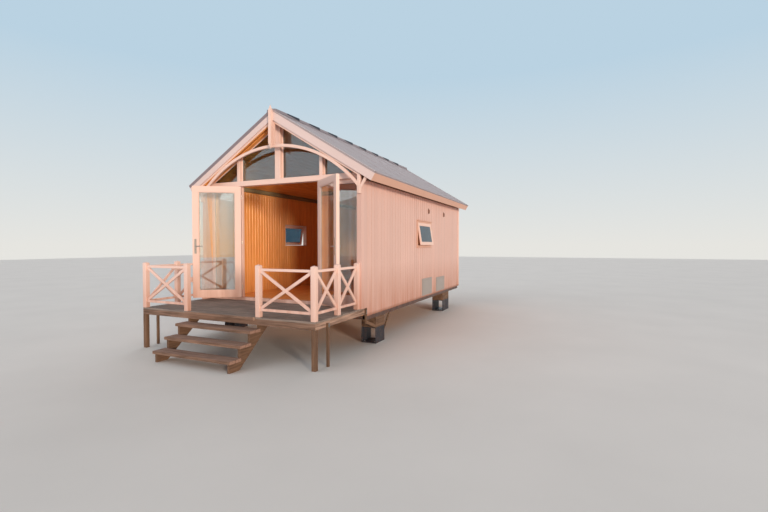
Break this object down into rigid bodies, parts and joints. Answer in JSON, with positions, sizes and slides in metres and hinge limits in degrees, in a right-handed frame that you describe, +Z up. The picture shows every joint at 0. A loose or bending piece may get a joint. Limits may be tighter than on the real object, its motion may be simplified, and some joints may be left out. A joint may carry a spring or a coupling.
{
  "type": "beach hut",
  "caption": "Timber beach hut with a pitched roof, glazed gable front, double doors, raised deck with X-braced balustrade, and steps.",
  "frame": {"origin": "centre of the object's box at ground level, under its stands, legs and stair stringers", "axes": "+Z up, +Y from the steps towards the back wall, +X to the right seen from the steps"},
  "size_m": [4.3, 8.66, 4.455],
  "materials": {
    "white_timber": "satin white paint",
    "pine": "clear varnish",
    "roofing": "matt grey coating",
    "clear_glass": "polished",
    "deck_timber": "weathered grey",
    "brown_timber": "rough sawn, stained",
    "dark_steel": "dark primer",
    "hatch_panel": "satin",
    "vent_plastic": "matt",
    "bright_steel": "brushed"
  },
  "bodies": {
    "hut": {"left_wall": "white_timber", "right_wall": "white_timber", "back_wall": "white_timber", "front_sill": "white_timber", "door_posts": "white_timber", "transom": "white_timber", "king_post": "white_timber", "gable_frame": "white_timber", "sidelight_frames": "white_timber", "left_bargeboards": "white_timber", "right_bargeboards": "white_timber", "eaves_fascias": "white_timber", "finial": "white_timber", "gable_truss": "white_timber", "arch_brace": "white_timber", "pendant_posts": "white_timber", "window_casings": "white_timber", "window_sashes": "white_timber", "balustrade_posts": "white_timber", "front_rail_panels": "white_timber", "side_rail_panels": "white_timber", "floor": "pine", "wall_plates": "pine", "left_roof_deck": "pine", "right_roof_deck": "pine", "left_roof_sheet": "roofing", "right_roof_sheet": "roofing", "ridge_cap": "roofing", "gable_glass": "clear_glass", "sidelight_glass": "clear_glass", "window_glass": "clear_glass", "deck_boards": "deck_timber", "deck_frame": "deck_timber", "deck_legs": "brown_timber", "stair_treads": "brown_timber", "stair_stringers": "brown_timber", "support_blocks": "brown_timber", "underframe_braces": "brown_timber", "floor_runners": "dark_steel", "cross_beams": "dark_steel", "support_feet": "dark_steel", "service_hatches": "hatch_panel", "wall_vents": "vent_plastic", "door_hinges": "bright_steel"},
    "left_door": {"left_door_frame": "white_timber", "left_door_glass": "clear_glass", "left_door_handles": "bright_steel"},
    "right_door": {"right_door_frame": "white_timber", "right_door_glass": "clear_glass", "right_door_handles": "bright_steel"}
  },
  "joints": [
    {"name": "left_door_hinge", "type": "hinge", "parent": "hut", "child": "left_door", "pos_m": [-0.94, -2.182, 1.895], "axis": [0, 0, -1], "range_deg": [-147.97, 2.03]},
    {"name": "right_door_hinge", "type": "hinge", "parent": "hut", "child": "right_door", "pos_m": [0.94, -2.182, 1.895], "axis": [0, 0, 1], "range_deg": [-142, 8]}
  ]
}
